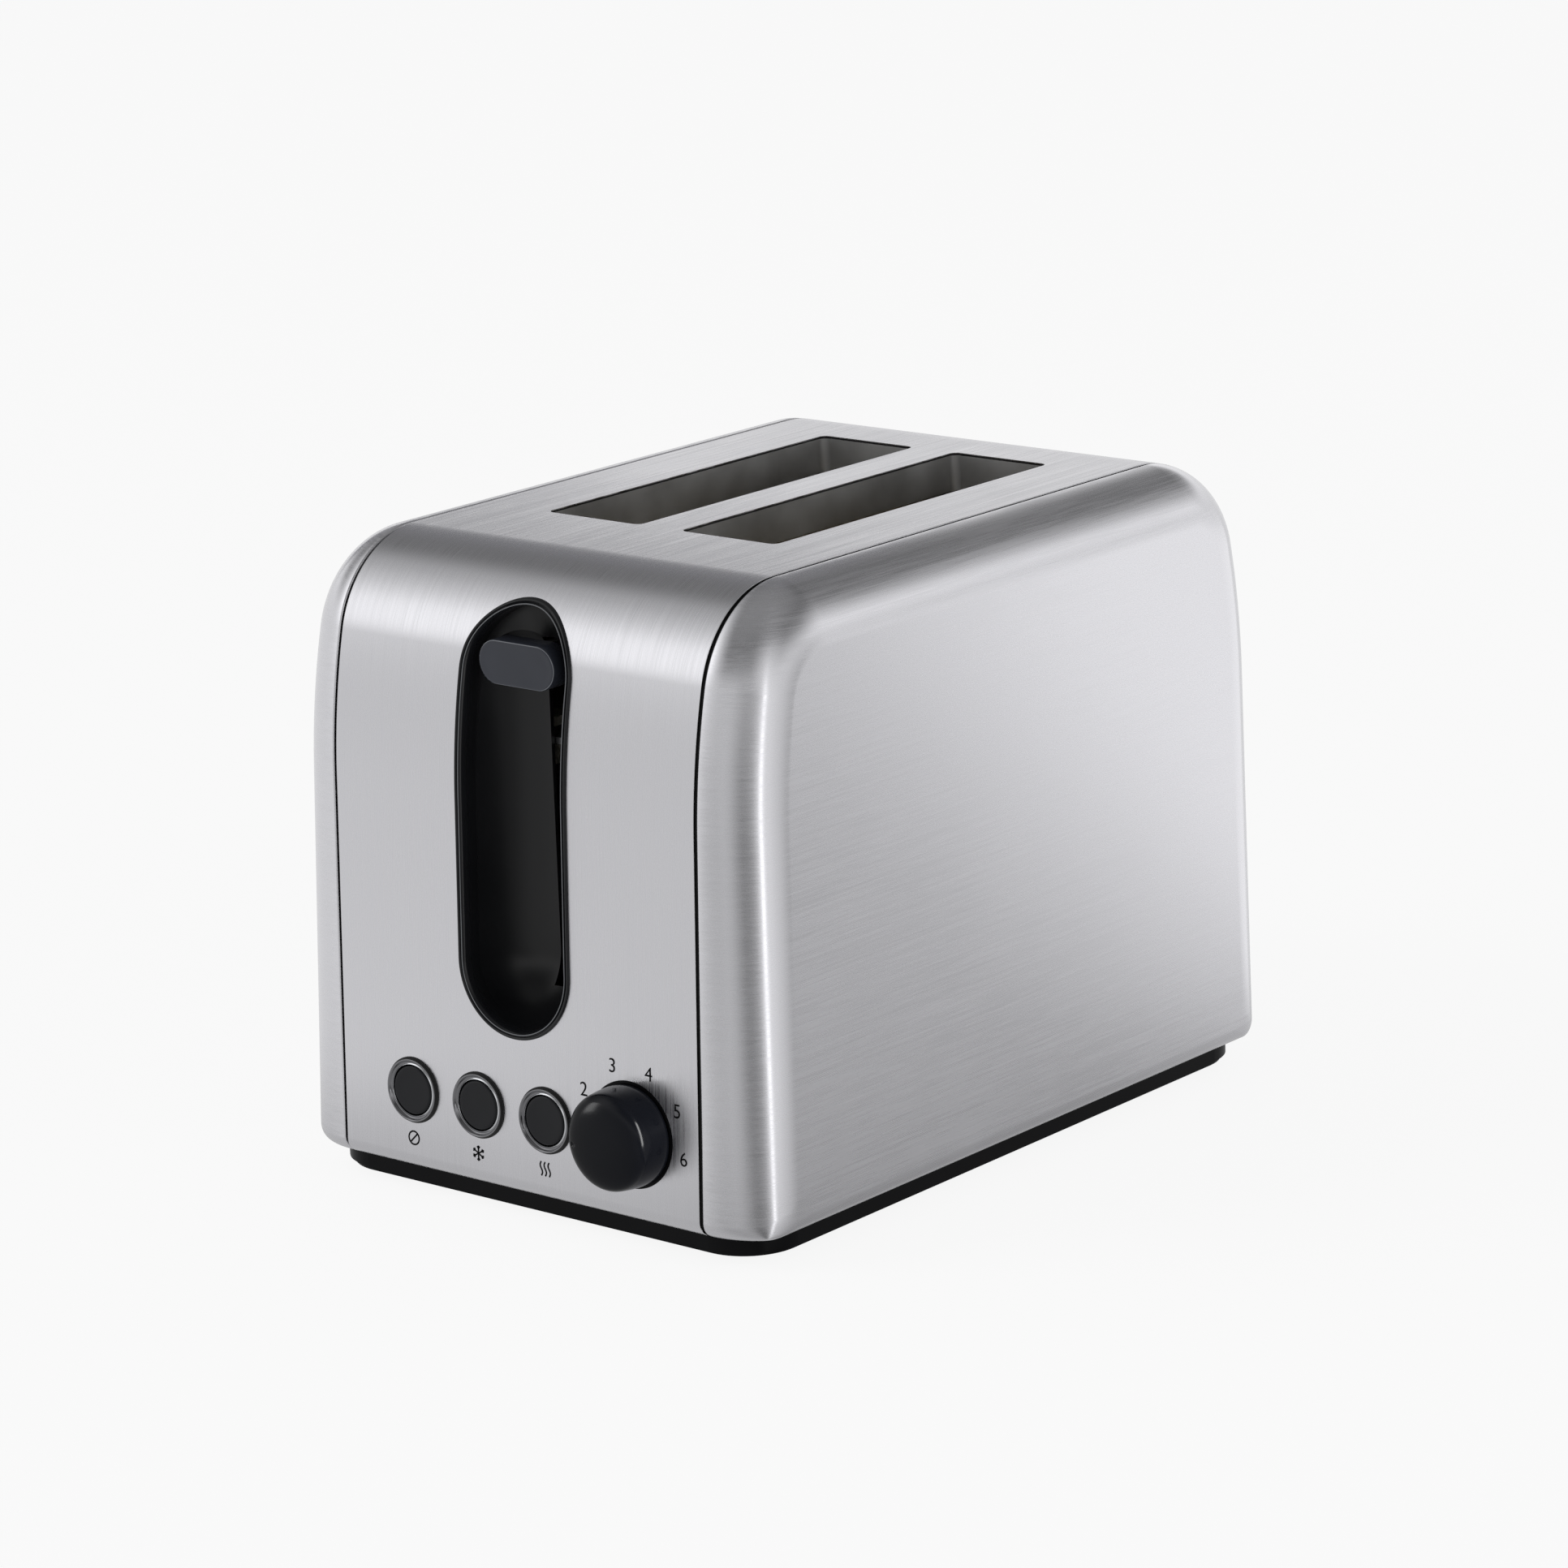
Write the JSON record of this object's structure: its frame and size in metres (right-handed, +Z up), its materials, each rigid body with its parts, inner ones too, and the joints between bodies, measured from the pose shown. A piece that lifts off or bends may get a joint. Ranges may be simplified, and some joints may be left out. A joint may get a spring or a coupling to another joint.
{
  "type": "pop-up toaster",
  "caption": "Upright box toaster with rounded steel sides, long bread slots, a lever in an oval window, push buttons and a browning dial.",
  "frame": {"origin": "middle of the footprint, on the table under the rubber feet", "axes": "+X to the toaster's right as seen from its control side, -Y out of the control side, +Z up"},
  "size_m": [0.1798, 0.2688, 0.191],
  "materials": {
    "brushed_steel": "brushed stainless steel",
    "black_plastic": "satin moulded plastic",
    "rubber": "matt rubber",
    "gloss_black": "glossy moulded plastic",
    "chrome": "bright plating",
    "plated_steel": "zinc-plated sheet",
    "bright_sheet": "bright sheet",
    "mica": "mica sheet",
    "heater_ribbon": "dull heating ribbon",
    "cream_plastic": "heat-resistant moulding",
    "board_green": "circuit board",
    "magnet_iron": "plain iron laminations",
    "copper": "enamelled winding",
    "brass": "spring brass",
    "spring_steel": "spring wire",
    "lead_red": "silicone-sleeved lead",
    "paddle_plastic": "satin dark blue-grey plastic",
    "button_black": "satin plastic",
    "knob_black": "satin-gloss plastic"
  },
  "bodies": {
    "chassis": {"center_band": "brushed_steel", "rear_panel": "brushed_steel", "left_cover": "brushed_steel", "right_cover": "brushed_steel", "base": "black_plastic", "rubber_feet": "rubber", "lever_bezel": "gloss_black", "lever_recess": "gloss_black", "cancel_ring": "chrome", "defrost_ring": "chrome", "reheat_ring": "chrome", "dial_collar": "black_plastic", "front_plate": "plated_steel", "rear_plate": "plated_steel", "left_reflector": "bright_sheet", "right_reflector": "bright_sheet", "slot_frame": "plated_steel", "left_heater_card": "mica", "center_heater_card": "mica", "right_heater_card": "mica", "left_heater_wire": "heater_ribbon", "center_heater_wires": "heater_ribbon", "right_heater_wire": "heater_ribbon", "control_bracket": "cream_plastic", "control_board": "board_green", "button_switches": "black_plastic", "dial_potentiometer": "black_plastic", "magnet_core": "magnet_iron", "magnet_coil": "copper", "power_contacts": "brass", "guide_rod": "chrome", "rod_bracket": "plated_steel", "carriage_bumper": "rubber", "return_spring": "spring_steel", "terminal_block": "cream_plastic", "cord_gland": "black_plastic", "internal_leads": "lead_red", "cover_screws": "plated_steel", "chassis_screws": "plated_steel", "board_screws": "plated_steel", "tray_rails": "plated_steel"},
    "carriage": {"carriage_slider": "cream_plastic", "carriage_bracket": "plated_steel", "left_bread_rack": "plated_steel", "right_bread_rack": "plated_steel", "lever_arm": "plated_steel", "lever_paddle": "paddle_plastic", "latch_plate": "magnet_iron", "contact_pusher": "cream_plastic"},
    "left_outer_guard": {"left_outer_guard": "chrome"},
    "left_inner_guard": {"left_inner_guard": "chrome"},
    "right_inner_guard": {"right_inner_guard": "chrome"},
    "right_outer_guard": {"right_outer_guard": "chrome"},
    "cancel_button": {"cancel_button": "button_black"},
    "defrost_button": {"defrost_button": "button_black"},
    "reheat_button": {"reheat_button": "button_black"},
    "dial": {"dial_knob": "knob_black", "dial_shaft": "plated_steel"},
    "tray": {"crumb_tray": "bright_sheet", "tray_handle": "black_plastic"}
  },
  "joints": [
    {"name": "carriage_slide", "type": "slide", "parent": "chassis", "child": "carriage", "axis": [0, 0, -1], "range_m": [0, 0.09], "stiffness_N_per_m": 53, "springref_m": -0.06, "deforming": ["return_spring"]},
    {"name": "left_outer_guard_slide", "type": "slide", "parent": "chassis", "child": "left_outer_guard", "axis": [1, 0, 0], "range_m": [0, 0.007]},
    {"name": "left_inner_guard_slide", "type": "slide", "parent": "chassis", "child": "left_inner_guard", "axis": [-1, 0, 0], "range_m": [0, 0.007]},
    {"name": "right_inner_guard_slide", "type": "slide", "parent": "chassis", "child": "right_inner_guard", "axis": [1, 0, 0], "range_m": [0, 0.007]},
    {"name": "right_outer_guard_slide", "type": "slide", "parent": "chassis", "child": "right_outer_guard", "axis": [-1, 0, 0], "range_m": [0, 0.007]},
    {"name": "cancel_press", "type": "slide", "parent": "chassis", "child": "cancel_button", "axis": [0, 0.9994, -0.0349], "range_m": [0, 0.0015], "stiffness_N_per_m": 500, "springref_m": -0.0006},
    {"name": "defrost_press", "type": "slide", "parent": "chassis", "child": "defrost_button", "axis": [0, 0.9994, -0.0349], "range_m": [0, 0.0015], "stiffness_N_per_m": 500, "springref_m": -0.0006},
    {"name": "reheat_press", "type": "slide", "parent": "chassis", "child": "reheat_button", "axis": [0, 0.9994, -0.0349], "range_m": [0, 0.0015], "stiffness_N_per_m": 500, "springref_m": -0.0006},
    {"name": "dial_turn", "type": "hinge", "parent": "chassis", "child": "dial", "pos_m": [0.0428, -0.12067, 0.0347], "axis": [0, 0.9994, -0.0349], "range_deg": [0, 201]},
    {"name": "crumb_tray_slide", "type": "slide", "parent": "chassis", "child": "tray", "axis": [0, 1, 0], "range_m": [0, 0.17]}
  ],
  "couplings": [
    {"joint": "left_outer_guard_slide", "follows": "carriage_slide", "ratio": 0.077778},
    {"joint": "left_inner_guard_slide", "follows": "carriage_slide", "ratio": 0.077778},
    {"joint": "right_inner_guard_slide", "follows": "carriage_slide", "ratio": 0.077778},
    {"joint": "right_outer_guard_slide", "follows": "carriage_slide", "ratio": 0.077778}
  ]
}
